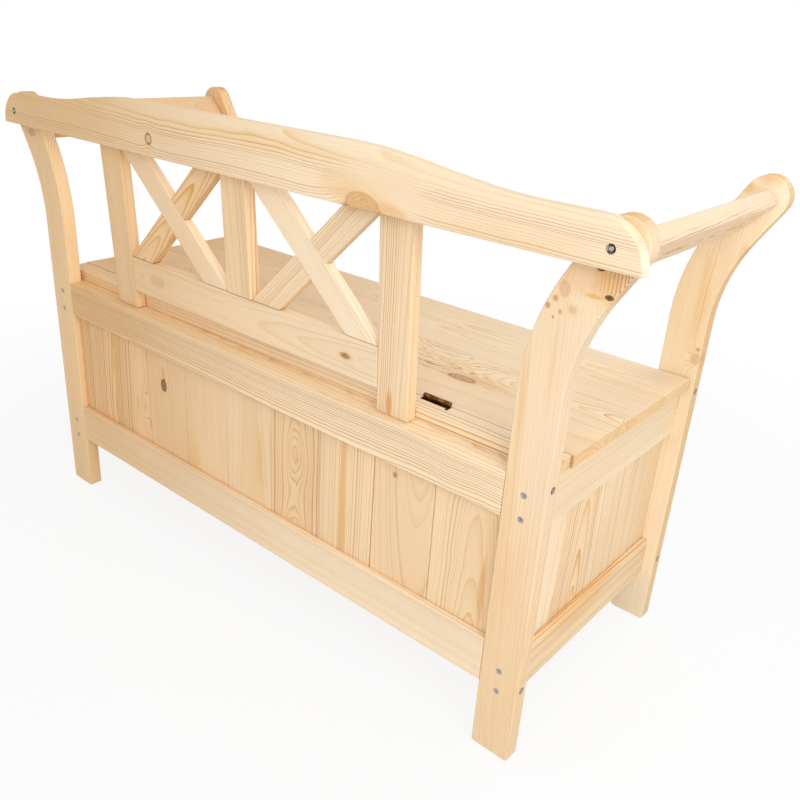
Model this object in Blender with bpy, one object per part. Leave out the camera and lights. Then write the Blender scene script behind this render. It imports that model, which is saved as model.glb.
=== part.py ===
"""Garden storage bench in unfinished pine.

A chest with a hinged lid serves as the seat. Its four posts run up past the seat and flare outward
into horns, which carry tilted armrests. A camel-back rail is fixed to the rear posts, and leaning
slats with two half-lapped crosses fill the back.
Metres, +Z up. The front faces -Y and +X is to the right as seen from the front. The origin is at
the bottom centre of the bounding box.
"""
import math

import bmesh
import bpy
from mathutils import Matrix, Vector

# Whole bench
LENGTH = 1.100              # over the outer faces of the legs
DEPTH = 0.449               # rear face of the rear posts to front face of the front posts
SEAT_TOP = 0.437            # top of the chest, under the lid
GAP = 0.0003                # between pieces that touch
ARRIS = 0.001               # small chamfer on worked edges

# Posts
POST_WIDTH = 0.060
POST_THICK = 0.024
LEG_STRAIGHT = 0.545        # height where the flare starts
FLARE_RADIUS = 0.279        # on the centreline
FLARE_ANGLE = math.radians(31)
HORN_LENGTH = 0.0566        # straight run from the flare to the centre of the round tip
FOOT_CHAMFER = 0.003

# Rails of the chest
RAIL_THICK = 0.024
LONG_UPPER_WIDTH = 0.062
LONG_LOWER_LOW = 0.1095     # underside of the front and rear lower rails
LONG_LOWER_WIDTH = 0.072
SIDE_INSET = 0.019          # side rails stand in from the outer faces of the posts
SIDE_UPPER_WIDTH = 0.081
SIDE_LOWER_LOW = 0.090
SIDE_LOWER_WIDTH = 0.067

# Panels
PANEL_THICK = 0.009
PANEL_INSET = 0.011         # panel face in from the rail face
PANEL_GROOVE = 0.008        # depth of the groove in the rails
PANEL_HEADROOM = 0.001      # free height above the boards in the upper groove
LONG_BOARD_COUNT = 9
SIDE_BOARD_COUNT = 4
PANEL_TONGUE = 0.005
PANEL_TONGUE_THICK = 0.003
V_JOINT = 0.0012            # chamfer that makes the line between two boards

# Hinge board and front ledge, between the side rails
LEDGE_WIDTH = 0.043
LEDGE_THICK = 0.020

# Hinge strip, fixed behind the lid and level with it
STRIP_WIDTH = 0.0335
STRIP_END_INSET = 0.010     # strip ends in from the outer faces of the legs
LID_JOINT = 0.001           # open joint between the strip and the lid

# Lid
LID_THICK = 0.018
LID_BOARD_COUNT = 4
LID_END_INSET = 0.007       # lid ends in from the outer faces of the legs
LID_FRONT_CLEARANCE = 0.002
LID_TONGUE = 0.006
LID_TONGUE_THICK = 0.006
LID_BATTEN_WIDTH = 0.045
LID_BATTEN_THICK = 0.018
LID_BATTEN_SPACING = 0.400
LID_BATTEN_CLEARANCE = 0.008

# Hinges
HINGE_LENGTH = 0.046
HINGE_CENTRE = 0.331        # from the middle of the bench
KNUCKLE_RADIUS = 0.0033
KNUCKLE_COUNT = 3
KNUCKLE_SIDES = 16
PIN_RADIUS = 0.0013
PIN_CLEARANCE = 0.0003
LEAF_THICK = 0.0012
LEAF_HEIGHT = 0.016         # from the pin down

# Floor of the chest
FLOOR_THICK = 0.009
FLOOR_BOARD_COUNT = 10
FLOOR_BATTEN = 0.020
FLOOR_BATTEN_RISE = 0.004   # battens stand this far above the underside of the lower rails

# Armrests
ARM_WIDTH = 0.065
ARM_THICK = 0.024
ARM_TILT = math.radians(45)
ARM_DROP = 0.0216           # centre of the section down the horn from the centre of its tip
ARM_ROUND = 0.003

# Top back rail
TOP_RAIL_LENGTH = 1.245
TOP_RAIL_THICK = 0.018
TOP_RAIL_LOW = 0.7137
TOP_RAIL_END_HEIGHT = 0.0535
TOP_RAIL_MID_HEIGHT = 0.078
RAIL_SCREW_INSET = 0.0365   # screws through the rail into the horns, in from its ends
RAIL_SCREW_LIFT = 0.022     # above the underside of the rail
HUMP_HALF = 0.225           # half-length of the level top of the raised middle
SHOULDER_HALF = 0.500       # where the slope down has levelled out
SLOPE_STEPS = 12
END_STEPS = 10

# Screws of the top back rail, sunk in a counterbore
SCREW_SHANK_RADIUS = 0.0024
SCREW_LENGTH = 0.034        # under the head
SCREW_POINT = 0.004
POINT_SHARE = 0.3           # blunt end of the point, as a share of the shank's radius
HEAD_RADIUS = 0.0036
HEAD_HEIGHT = 0.0022
HEAD_RIM_SHARE = 0.6        # height of the head's straight rim
HEAD_FACE_SHARE = 0.7       # radius of the head's flat face
COUNTERBORE_RADIUS = 0.0047
COUNTERBORE_DEPTH = 0.003
SCREW_SIDES = 16

# Back slats and braces
SLAT_WIDTH = 0.055
SLAT_THICK = 0.019
SLAT_SPACING = 0.308
SLAT_SHIFT = 0.013          # the whole back frame stands this far to the right
SLAT_SETBACK = 0.0135       # slat feet in front of the posts' rear faces
SLAT_LAP = 0.046            # slats behind the top rail
BACK_BOARD_LIFT = 0.033
BACK_BOARD_WIDTH = 0.060
BACK_BOARD_THICK = 0.018
BRACE_WIDTH = 0.040
BRACE_THICK = 0.015
BRACE_LAP = 0.030           # braces behind the top rail

# Places worked out from the sizes above
FRONT_FACE = -(DEPTH + GAP + TOP_RAIL_THICK) / 2
REAR_FACE = FRONT_FACE + DEPTH
FRONT_INNER = FRONT_FACE + POST_THICK
REAR_INNER = REAR_FACE - POST_THICK
LEG_MIDDLE = LENGTH / 2 - POST_WIDTH / 2
LONG_HALF = LENGTH / 2 - POST_WIDTH
SIDE_FACE = LENGTH / 2 - SIDE_INSET
LID_HALF = LENGTH / 2 - LID_END_INSET
STRIP_HALF = LENGTH / 2 - STRIP_END_INSET
LID_LOW = SEAT_TOP + GAP
STRIP_REAR = REAR_FACE - SLAT_SETBACK - SLAT_THICK - GAP
STRIP_FRONT = STRIP_REAR - STRIP_WIDTH
LID_REAR = STRIP_FRONT - LID_JOINT
LID_FRONT = FRONT_INNER + LID_FRONT_CLEARANCE
HINGE_Y = (STRIP_FRONT + LID_REAR) / 2
HINGE_Z = LID_LOW + LID_THICK + GAP + KNUCKLE_RADIUS
FLOOR_LOW = LONG_LOWER_LOW + FLOOR_BATTEN_RISE + FLOOR_BATTEN + GAP
LEAN = math.atan2(SLAT_SETBACK, TOP_RAIL_LOW - SEAT_TOP)

# Finishes: base colour, roughness and metallic
PINE = ((0.82, 0.66, 0.44), 0.60, 0.0)
PINE_DARK = ((0.74, 0.56, 0.34), 0.62, 0.0)
PINE_PALE = ((0.87, 0.73, 0.52), 0.58, 0.0)
BRASS = ((0.42, 0.31, 0.16), 0.42, 1.0)
ZINC = ((0.72, 0.73, 0.74), 0.35, 1.0)


def clear_scene():
    for item in list(bpy.data.objects):
        bpy.data.objects.remove(item, do_unlink=True)


def finish_material(name, finish):
    """One Principled material for one sub-part."""
    colour, roughness, metallic = finish
    material = bpy.data.materials.new(name)
    material.use_nodes = True
    shader = material.node_tree.nodes["Principled BSDF"]
    shader.inputs["Base Color"].default_value = (*colour, 1.0)
    shader.inputs["Roughness"].default_value = roughness
    shader.inputs["Metallic"].default_value = metallic
    return material


def add_empty(name, location, tilt=0.0):
    empty = bpy.data.objects.new(name, None)
    empty.location = location
    empty.rotation_euler = (tilt, 0.0, 0.0)
    bpy.context.collection.objects.link(empty)
    return empty


def add_object(name, shape, finish, origin, parent=None):
    """Turn a bmesh, drawn in its parent's coordinates, into an object whose origin is at origin."""
    origin = Vector(origin)
    bmesh.ops.transform(shape, matrix=Matrix.Translation(-origin), verts=shape.verts)
    bmesh.ops.recalc_face_normals(shape, faces=shape.faces)
    mesh = bpy.data.meshes.new(name)
    shape.to_mesh(mesh)
    shape.free()
    item = bpy.data.objects.new(name, mesh)
    item.location = origin
    item.parent = parent
    bpy.context.collection.objects.link(item)
    if finish:
        mesh.materials.append(finish_material(name, finish))
    return item


def combine(target, shape, operation):
    """Join a bmesh to an object, or cut it out, with an exact Boolean that is then applied."""
    tool = add_object(target.name + "_tool", shape, None, target.location, target.parent)
    modifier = target.modifiers.new(operation.lower(), "BOOLEAN")
    modifier.operation = operation
    modifier.solver = "EXACT"
    modifier.object = tool
    bpy.context.view_layer.update()
    shaped = target.evaluated_get(bpy.context.evaluated_depsgraph_get())
    result = bpy.data.meshes.new_from_object(shaped)
    result.name = target.name
    target.modifiers.clear()
    target.data = result
    bpy.data.objects.remove(tool, do_unlink=True)


def soften_edges(item, width, segments=1):
    bevel = item.modifiers.new("soften", "BEVEL")
    bevel.width = width
    bevel.segments = segments
    bevel.limit_method = "ANGLE"
    bevel.angle_limit = math.radians(40)


def prism(outline, axis, low, high, shape=None):
    """Extrude an outline along an axis. Its points are the two other coordinates, in X, Y, Z order."""
    shape = shape or bmesh.new()
    place = {
        "X": lambda u, v, along: (along, u, v),
        "Y": lambda u, v, along: (u, along, v),
        "Z": lambda u, v, along: (u, v, along),
    }[axis]
    start = [shape.verts.new(place(u, v, low)) for u, v in outline]
    end = [shape.verts.new(place(u, v, high)) for u, v in outline]
    shape.faces.new(start)
    shape.faces.new(end)
    for index in range(len(outline)):
        after = (index + 1) % len(outline)
        shape.faces.new((start[index], start[after], end[after], end[index]))
    return shape


def rectangle(low_u, high_u, low_v, high_v):
    return [(low_u, low_v), (high_u, low_v), (high_u, high_v), (low_u, high_v)]


def chamfered(outline, size, corners=None):
    """Cut the convex corners of an outline that runs anticlockwise, or only the listed corners."""
    result = []
    for index, point in enumerate(outline):
        here = Vector(point)
        before = (here - Vector(outline[index - 1])).normalized()
        after = (Vector(outline[(index + 1) % len(outline)]) - here).normalized()
        convex = before.cross(after) > 0
        if convex and (corners is None or index in corners):
            result.append(tuple(here - before * size))
            result.append(tuple(here + after * size))
        else:
            result.append(tuple(here))
    return result


def arc(centre, radius, start, end, steps):
    """Points along a circle, with both ends; the angles run from +U toward +V."""
    angles = [start + (end - start) * step / steps for step in range(steps + 1)]
    return [(centre[0] + radius * math.cos(a), centre[1] + radius * math.sin(a)) for a in angles]


def mirrored(outline, side):
    """The outline itself for side 1, and its mirror image about U = 0 for side -1."""
    return [(side * u, v) for u, v in outline]


# Posts

def horn_tip():
    """Centre of the round tip of the right-hand posts."""
    x = LEG_MIDDLE + FLARE_RADIUS * (1 - math.cos(FLARE_ANGLE)) + HORN_LENGTH * math.sin(FLARE_ANGLE)
    z = LEG_STRAIGHT + FLARE_RADIUS * math.sin(FLARE_ANGLE) + HORN_LENGTH * math.cos(FLARE_ANGLE)
    return x, z


def post_outline():
    """Right-hand post from the front: leg, flare concentric on both edges, horn and round tip."""
    half = POST_WIDTH / 2
    centre = (LEG_MIDDLE + FLARE_RADIUS, LEG_STRAIGHT)
    foot = chamfered(rectangle(LEG_MIDDLE - half, LEG_MIDDLE + half, 0, LEG_STRAIGHT), FOOT_CHAMFER, (0, 1))
    outer = arc(centre, FLARE_RADIUS - half, math.pi, math.pi - FLARE_ANGLE, 10)
    tip = arc(horn_tip(), half, -FLARE_ANGLE, math.pi - FLARE_ANGLE, 14)
    inner = arc(centre, FLARE_RADIUS + half, math.pi - FLARE_ANGLE, math.pi, 10)
    return foot[:4] + outer + tip + inner


def make_posts():
    ends = {"rear": (REAR_INNER, REAR_FACE), "front": (FRONT_FACE, FRONT_INNER)}
    for row, (low, high) in ends.items():
        for hand, side in (("left", -1), ("right", 1)):
            shape = prism(mirrored(post_outline(), side), "Y", low, high)
            post = add_object(f"post_{row}_{hand}", shape, PINE, (side * LEG_MIDDLE, (low + high) / 2, 0))
            soften_edges(post, ARRIS)


# Rails of the chest

def rail_section(low, high, groove):
    """Rail section: distance in from the outer face, and height, with a groove for the panel."""
    near = PANEL_INSET - GAP
    far = PANEL_INSET + PANEL_THICK + GAP
    if groove == "above":
        bottom = high - PANEL_GROOVE
        slot = [(far, high), (far, bottom), (near, bottom), (near, high)]
        outline = [(0, low), (RAIL_THICK, low), (RAIL_THICK, high)] + slot + [(0, high)]
    else:
        bottom = low + PANEL_GROOVE
        slot = [(near, low), (near, bottom), (far, bottom), (far, low)]
        outline = [(0, low)] + slot + [(RAIL_THICK, low), (RAIL_THICK, high), (0, high)]
    return chamfered(outline, ARRIS)


def make_long_rails():
    """The front and rear rails, between the posts and flush with their outer faces."""
    levels = {
        "upper": (SEAT_TOP - LONG_UPPER_WIDTH, SEAT_TOP, "below"),
        "lower": (LONG_LOWER_LOW, LONG_LOWER_LOW + LONG_LOWER_WIDTH, "above"),
    }
    for level, (low, high, groove) in levels.items():
        for row, face, inward in (("rear", REAR_FACE, -1), ("front", FRONT_FACE, 1)):
            outline = [(face + inward * depth, z) for depth, z in rail_section(low, high, groove)]
            shape = prism(outline, "X", -LONG_HALF + GAP, LONG_HALF - GAP)
            add_object(f"{row}_{level}_rail", shape, PINE, (0, face, low))


def make_side_rails():
    """The end rails, between the front and rear posts and set in from their outer faces."""
    levels = {
        "upper": (SEAT_TOP - SIDE_UPPER_WIDTH, SEAT_TOP, "below"),
        "lower": (SIDE_LOWER_LOW, SIDE_LOWER_LOW + SIDE_LOWER_WIDTH, "above"),
    }
    for level, (low, high, groove) in levels.items():
        for hand, side in (("left", -1), ("right", 1)):
            outline = [(side * (SIDE_FACE - depth), z) for depth, z in rail_section(low, high, groove)]
            shape = prism(outline, "Y", FRONT_INNER + GAP, REAR_INNER - GAP)
            add_object(f"{hand}_{level}_rail", shape, PINE_PALE, (side * SIDE_FACE, 0, low))


# Tongue-and-groove boards

def board_section(width, thick, tongue, tongue_thick, first, last):
    """Board section: across its width, and in from its face. The groove is at 0, the tongue past width."""
    low = (thick - tongue_thick) / 2
    high = low + tongue_thick
    outline = [(0, 0), (width, 0)]
    if not last:
        outline += [(width, low), (width + tongue, low), (width + tongue, high), (width, high)]
    outline += [(width, thick), (0, thick)]
    if not first:
        outline += [(0, high + GAP), (tongue, high + GAP), (tongue, low - GAP), (0, low - GAP)]
    return chamfered(outline, V_JOINT, (0, 1))


def board_run(start, end, count, thick, tongue, tongue_thick):
    """Sections of boards laid side by side from start to end, as (across, in from the face) points."""
    pitch = (end - start) / count
    for index in range(count):
        section = board_section(pitch - GAP, thick, tongue, tongue_thick, index == 0, index == count - 1)
        offset = start + index * pitch + GAP / 2
        yield index, offset + pitch / 2, [(offset + u, depth) for u, depth in section]


def joined_boards(half, count, thick):
    """Section of boards glued into one panel: a V line at each joint, across and in from the face."""
    pitch = 2 * half / count
    outline = [(-half, 0)]
    for index in range(1, count):
        joint = -half + index * pitch
        outline += [(joint - V_JOINT, 0), (joint, V_JOINT), (joint + V_JOINT, 0)]
    return outline + [(half, 0), (half, thick), (-half, thick)]


def panel_run(half, count):
    return board_run(-half, half, count, PANEL_THICK, PANEL_TONGUE, PANEL_TONGUE_THICK)


def make_long_panels():
    """Upright boards between the long rails: loose at the back, one glued panel at the front."""
    low = LONG_LOWER_LOW + LONG_LOWER_WIDTH - PANEL_GROOVE + GAP
    high = SEAT_TOP - LONG_UPPER_WIDTH + PANEL_GROOVE - PANEL_HEADROOM
    half = LONG_HALF - GAP
    for index, middle, section in panel_run(half, LONG_BOARD_COUNT):
        outline = [(u, REAR_FACE - PANEL_INSET - depth) for u, depth in section]
        shape = prism(outline, "Z", low, high)
        origin = (middle, REAR_FACE - PANEL_INSET, low)
        add_object(f"rear_panel_board_{index + 1}", shape, PINE_DARK, origin)
    section = joined_boards(half, LONG_BOARD_COUNT, PANEL_THICK)
    outline = [(u, FRONT_FACE + PANEL_INSET + depth) for u, depth in section]
    add_object("front_panel", prism(outline, "Z", low, high), PINE_DARK, (0, FRONT_FACE + PANEL_INSET, low))


def make_side_panels():
    low = SIDE_LOWER_LOW + SIDE_LOWER_WIDTH - PANEL_GROOVE + GAP
    high = SEAT_TOP - SIDE_UPPER_WIDTH + PANEL_GROOVE - PANEL_HEADROOM
    middle_y = (REAR_INNER + FRONT_INNER) / 2
    half = (REAR_INNER - FRONT_INNER) / 2 - GAP
    for hand, side in (("left", -1), ("right", 1)):
        for index, middle, section in panel_run(half, SIDE_BOARD_COUNT):
            face = SIDE_FACE - PANEL_INSET
            outline = [(side * (face - depth), middle_y + u) for u, depth in section]
            shape = prism(outline, "Z", low, high)
            origin = (side * face, middle_y + middle, low)
            add_object(f"{hand}_panel_board_{index + 1}", shape, PINE_PALE, origin)


def make_floor():
    """Two battens along the lower rails carry the floor, whose boards run from front to back."""
    low = FLOOR_LOW - GAP - FLOOR_BATTEN
    for row, inner, inward in (("rear", REAR_INNER, -1), ("front", FRONT_INNER, 1)):
        near = inner + inward * GAP
        section = rectangle(*sorted((near, near + inward * FLOOR_BATTEN)), low, low + FLOOR_BATTEN)
        shape = prism(chamfered(section, ARRIS), "X", -LONG_HALF + GAP, LONG_HALF - GAP)
        add_object(f"floor_batten_{row}", shape, PINE, (0, near, low))
    half = SIDE_FACE - RAIL_THICK - GAP
    section = joined_boards(half, FLOOR_BOARD_COUNT, FLOOR_THICK)
    outline = [(u, FLOOR_LOW + FLOOR_THICK - depth) for u, depth in section]
    shape = prism(outline, "Y", FRONT_INNER + GAP, REAR_INNER - GAP)
    add_object("floor", shape, PINE, (0, 0, FLOOR_LOW))


def make_ledges():
    """The hinge board under the hinge strip, and its twin under the lid's front edge."""
    half = SIDE_FACE - RAIL_THICK - GAP
    for name, wall, inward in (("hinge_board", REAR_INNER, -1), ("front_ledge", FRONT_INNER, 1)):
        edges = sorted((wall + inward * GAP, wall + inward * LEDGE_WIDTH))
        section = rectangle(*edges, SEAT_TOP - LEDGE_THICK, SEAT_TOP)
        shape = prism(section, "X", -half, half)
        ledge = add_object(name, shape, PINE_PALE, (0, wall, SEAT_TOP - LEDGE_THICK))
        soften_edges(ledge, ARRIS)


def make_hinge_strip():
    """The fixed strip level with the lid, mortised for the hinges."""
    section = rectangle(STRIP_FRONT, STRIP_REAR, LID_LOW, LID_LOW + LID_THICK)
    shape = prism(section, "X", -STRIP_HALF, STRIP_HALF)
    strip = add_object("hinge_strip", shape, PINE_PALE, (0, STRIP_REAR, LID_LOW))
    cut_mortises(strip, 1, (HINGE_Y, HINGE_Z))


def cut_mortises(board, side, pin):
    """Cut a mortise for a leaf at each hinge, on side 1 (strip) or -1 (lid) of the pin."""
    open_edge = pin[0] - side * LID_JOINT
    deep_edge = pin[0] + side * (GAP / 2 + LEAF_THICK + GAP)
    foot = pin[1] - LEAF_HEIGHT - GAP
    reach = HINGE_LENGTH / 2 + GAP
    for centre_x in (-HINGE_CENTRE, HINGE_CENTRE):
        section = rectangle(*sorted((open_edge, deep_edge)), foot, pin[1])
        combine(board, prism(section, "X", centre_x - reach, centre_x + reach), "DIFFERENCE")


# Armrests and top back rail

def make_armrests():
    """Flat boards tilted toward the sitter, on the centreline of the horns."""
    tip_x, tip_z = horn_tip()
    x = tip_x - ARM_DROP * math.sin(FLARE_ANGLE)
    z = tip_z - ARM_DROP * math.cos(FLARE_ANGLE)
    half_length = (REAR_INNER - FRONT_INNER) / 2 - GAP
    middle_y = (REAR_INNER + FRONT_INNER) / 2
    section = rectangle(-ARM_WIDTH / 2, ARM_WIDTH / 2, -ARM_THICK / 2, ARM_THICK / 2)
    for hand, side in (("left", -1), ("right", 1)):
        shape = prism(section, "Y", -half_length, half_length)
        arm = add_object(f"armrest_{hand}", shape, PINE, (0, 0, 0))
        arm.location = (side * x, middle_y, z)
        arm.rotation_euler = (0, -side * ARM_TILT, 0)
        soften_edges(arm, ARM_ROUND, 2)


def top_rail_half_outline():
    """Right half of the camel-back outline, from the bottom corner up to the level middle."""
    half = TOP_RAIL_LENGTH / 2
    outline = arc((half - TOP_RAIL_END_HEIGHT, TOP_RAIL_LOW), TOP_RAIL_END_HEIGHT, 0, math.pi / 2, END_STEPS)
    rise = TOP_RAIL_MID_HEIGHT - TOP_RAIL_END_HEIGHT
    for step in range(SLOPE_STEPS + 1):
        share = step / SLOPE_STEPS
        x = SHOULDER_HALF + (HUMP_HALF - SHOULDER_HALF) * share
        z = TOP_RAIL_LOW + TOP_RAIL_END_HEIGHT + rise * (1 - math.cos(math.pi * share)) / 2
        outline.append((x, z))
    return outline


def make_top_rail():
    right = top_rail_half_outline()
    left = [(-x, z) for x, z in reversed(right)]
    front = REAR_FACE + GAP
    shape = prism(right + left, "Y", front, front + TOP_RAIL_THICK)
    rail = add_object("top_back_rail", shape, PINE, (0, front, TOP_RAIL_LOW))
    soften_edges(rail, ARRIS)
    for hand, side in (("left", -1), ("right", 1)):
        fasten_rail(rail, hand, side)


def turned(profile, sides):
    """Revolve (radius, along) points about the Y axis; the first and last points lie on the axis."""
    shape = bmesh.new()
    rings = []
    for radius, along in profile[1:-1]:
        ring = []
        for index in range(sides):
            angle = 2 * math.pi * (index + 0.5) / sides
            ring.append(shape.verts.new((radius * math.cos(angle), along, radius * math.sin(angle))))
        rings.append(ring)
    for ring, after in zip(rings, rings[1:]):
        for index in range(sides):
            other = (index + 1) % sides
            shape.faces.new((ring[index], ring[other], after[other], after[index]))
    for ring, (_, along) in ((rings[0], profile[0]), (rings[-1], profile[-1])):
        tip = shape.verts.new((0, along, 0))
        for index in range(sides):
            shape.faces.new((ring[index], ring[(index + 1) % sides], tip))
    return shape


def fasten_rail(rail, hand, side):
    """One screw, its stepped hole through the rail and its pilot hole in the horn."""
    face = REAR_FACE + GAP + TOP_RAIL_THICK
    seat = face - COUNTERBORE_DEPTH
    place = Vector((side * (TOP_RAIL_LENGTH / 2 - RAIL_SCREW_INSET), 0, TOP_RAIL_LOW + RAIL_SCREW_LIFT))
    tip = seat - SCREW_LENGTH
    shank = SCREW_SHANK_RADIUS
    head = seat + GAP
    crown = head + HEAD_HEIGHT
    body = [(0, tip), (shank * POINT_SHARE, tip + GAP), (shank, tip + SCREW_POINT), (shank, head)]
    body += [(HEAD_RADIUS, head), (HEAD_RADIUS, head + HEAD_HEIGHT * HEAD_RIM_SHARE)]
    body += [(HEAD_RADIUS * HEAD_FACE_SHARE, crown), (0, crown)]
    screw = turned(body, SCREW_SIDES)
    bore = shank + GAP
    hole = [(0, tip - GAP), (bore, tip - GAP), (bore, seat), (COUNTERBORE_RADIUS, seat)]
    hole += [(COUNTERBORE_RADIUS, face + GAP), (0, face + GAP)]
    for target in (rail, bpy.data.objects[f"post_rear_{hand}"]):
        cutter = turned(hole, SCREW_SIDES)
        bmesh.ops.translate(cutter, vec=place, verts=cutter.verts)
        combine(target, cutter, "DIFFERENCE")
    bmesh.ops.translate(screw, vec=place, verts=screw.verts)
    add_object(f"top_rail_screw_{hand}", screw, ZINC, (place.x, face, place.z))


# Slats and braces, drawn in the leaning plane of the back: Y = 0 is the slats' rear face

def make_back():
    plane = add_empty("back_plane", (SLAT_SHIFT, REAR_FACE - SLAT_SETBACK, SEAT_TOP + GAP), -LEAN)
    under_rail = (TOP_RAIL_LOW - SEAT_TOP - GAP) / math.cos(LEAN)
    board_top = BACK_BOARD_LIFT + BACK_BOARD_WIDTH
    make_slats(plane, under_rail, board_top)
    make_back_board(plane)
    bay_edge = SLAT_SPACING - SLAT_WIDTH / 2 - GAP
    middle_edge = SLAT_WIDTH / 2 + GAP
    make_cross(plane, "left", -bay_edge, -middle_edge, board_top + GAP, under_rail)
    make_cross(plane, "right", middle_edge, bay_edge, board_top + GAP, under_rail)


def slat_side(foot, under_rail, level_foot):
    """Side outline of a slat, with its rear face cut upright where it bears on the top rail."""
    top = under_rail + SLAT_LAP
    front_foot = foot - SLAT_THICK * math.tan(LEAN) if level_foot else foot
    seat_cut = -SLAT_LAP * math.tan(LEAN)
    return [(-SLAT_THICK, front_foot), (0, foot), (0, under_rail), (seat_cut, top), (-SLAT_THICK, top)]


def make_slats(plane, under_rail, board_top):
    places = (("left", -SLAT_SPACING, 0.0), ("middle", 0.0, board_top + GAP), ("right", SLAT_SPACING, 0.0))
    for name, x, foot in places:
        outline = slat_side(foot, under_rail, level_foot=foot == 0.0)
        shape = prism(outline, "X", x - SLAT_WIDTH / 2, x + SLAT_WIDTH / 2)
        slat = add_object(f"back_slat_{name}", shape, PINE, (x, 0, foot), plane)
        soften_edges(slat, ARRIS)


def make_back_board(plane):
    inset = (SLAT_THICK - BACK_BOARD_THICK) / 2
    half = SLAT_SPACING - SLAT_WIDTH / 2 - GAP
    section = rectangle(-inset - BACK_BOARD_THICK, -inset, BACK_BOARD_LIFT, BACK_BOARD_LIFT + BACK_BOARD_WIDTH)
    shape = prism(section, "X", -half, half)
    board = add_object("back_bottom_board", shape, PINE, (0, 0, BACK_BOARD_LIFT), plane)
    soften_edges(board, ARRIS)


def brace_band(left, right, low, high, margin):
    """Edges of a diagonal from the lower left corner of a bay to its upper right one.

    Its width fills the corners, so that width = bay * sin(angle) - height * cos(angle).
    """
    bay = right - left
    height = high - low
    angle = math.atan2(height, bay) + math.asin(BRACE_WIDTH / math.hypot(bay, height))
    footprint = BRACE_WIDTH / math.sin(angle)
    slope = math.tan(angle)
    spread = margin / math.sin(angle)
    upper = (left - spread, slope)
    lower = (left + footprint + spread, slope)
    return upper, lower


def brace_outline(left, right, low, high, top):
    """The diagonal cut level at its foot and its top, and upright beside the slat."""
    (upper, slope), (lower, _) = brace_band(left, right, low, high, 0.0)
    corner = low + (right - lower) * slope
    return [(left, low), (lower, low), (right, corner), (right, top), (upper + (top - low) / slope, top)]


def lap_outline(left, right, low, high):
    """The space that a crossing diagonal takes, a gap wider on both sides, past both ends."""
    (upper, slope), (lower, _) = brace_band(left, right, low, high, GAP)
    reach = (high - low) / 2
    start = low - reach
    end = high + reach
    back = -reach / slope
    ahead = (high - low + reach) / slope
    return [(upper + back, start), (lower + back, start), (lower + ahead, end), (upper + ahead, end)]


def flipped(outline, left, right):
    return [(left + right - x, z) for x, z in outline]


def make_cross(plane, bay, left, right, low, high):
    """Two braces halved into each other; the one that rises to the right passes behind."""
    top = high + BRACE_LAP
    rear = -(SLAT_THICK - BRACE_THICK) / 2
    middle = rear - BRACE_THICK / 2
    front = rear - BRACE_THICK
    spare = BRACE_THICK / 2
    rising = brace_outline(left, right, low, high, top)
    rising_lap = lap_outline(left, right, low, high)
    pieces = (
        ("rising", rising, flipped(rising_lap, left, right), front - spare, middle + GAP / 2),
        ("falling", flipped(rising, left, right), rising_lap, middle - GAP / 2, rear + spare),
    )
    for name, outline, lap, lap_low, lap_high in pieces:
        shape = prism(outline, "Y", front, rear)
        brace = add_object(f"brace_{bay}_{name}", shape, PINE, (left, 0, low), plane)
        combine(brace, prism(lap, "Y", lap_low, lap_high), "DIFFERENCE")


# Lid and hinges, which turn about the pin's axis

def make_lid(pivot):
    centre = Vector(pivot.location)
    runs = board_run(LID_FRONT, LID_REAR, LID_BOARD_COUNT, LID_THICK, LID_TONGUE, LID_TONGUE_THICK)
    for index, middle, section in runs:
        outline = [(y - centre.y, LID_LOW + LID_THICK - depth - centre.z) for y, depth in section]
        shape = prism(outline, "X", -LID_HALF, LID_HALF)
        board = add_object(f"lid_board_{index + 1}", shape, PINE_PALE, (0, 0, 0), pivot)
        if index == LID_BOARD_COUNT - 1:
            cut_mortises(board, -1, (0, 0))
    low_y = FRONT_INNER + LEDGE_WIDTH + LID_BATTEN_CLEARANCE - centre.y
    high_y = REAR_INNER - LEDGE_WIDTH - LID_BATTEN_CLEARANCE - centre.y
    top = LID_LOW - GAP - centre.z
    for place, x in (("left", -LID_BATTEN_SPACING), ("middle", 0.0), ("right", LID_BATTEN_SPACING)):
        section = rectangle(x - LID_BATTEN_WIDTH / 2, x + LID_BATTEN_WIDTH / 2, low_y, high_y)
        shape = prism(section, "Z", top - LID_BATTEN_THICK, top)
        batten = add_object(f"lid_batten_{place}", shape, PINE, (0, 0, 0), pivot)
        soften_edges(batten, ARRIS)


def knuckle_spans(centre_x, offset):
    """X ranges of every second knuckle of a hinge, starting with number offset."""
    pitch = HINGE_LENGTH / KNUCKLE_COUNT
    start = centre_x - HINGE_LENGTH / 2
    for index in range(offset, KNUCKLE_COUNT, 2):
        yield start + index * pitch + GAP / 2, start + (index + 1) * pitch - GAP / 2


def disc(radius):
    """A round section with flats, not corners, on the axes."""
    step = 2 * math.pi / KNUCKLE_SIDES
    return arc((0, 0), radius, step / 2, 2 * math.pi - step / 2, KNUCKLE_SIDES - 1)


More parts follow.
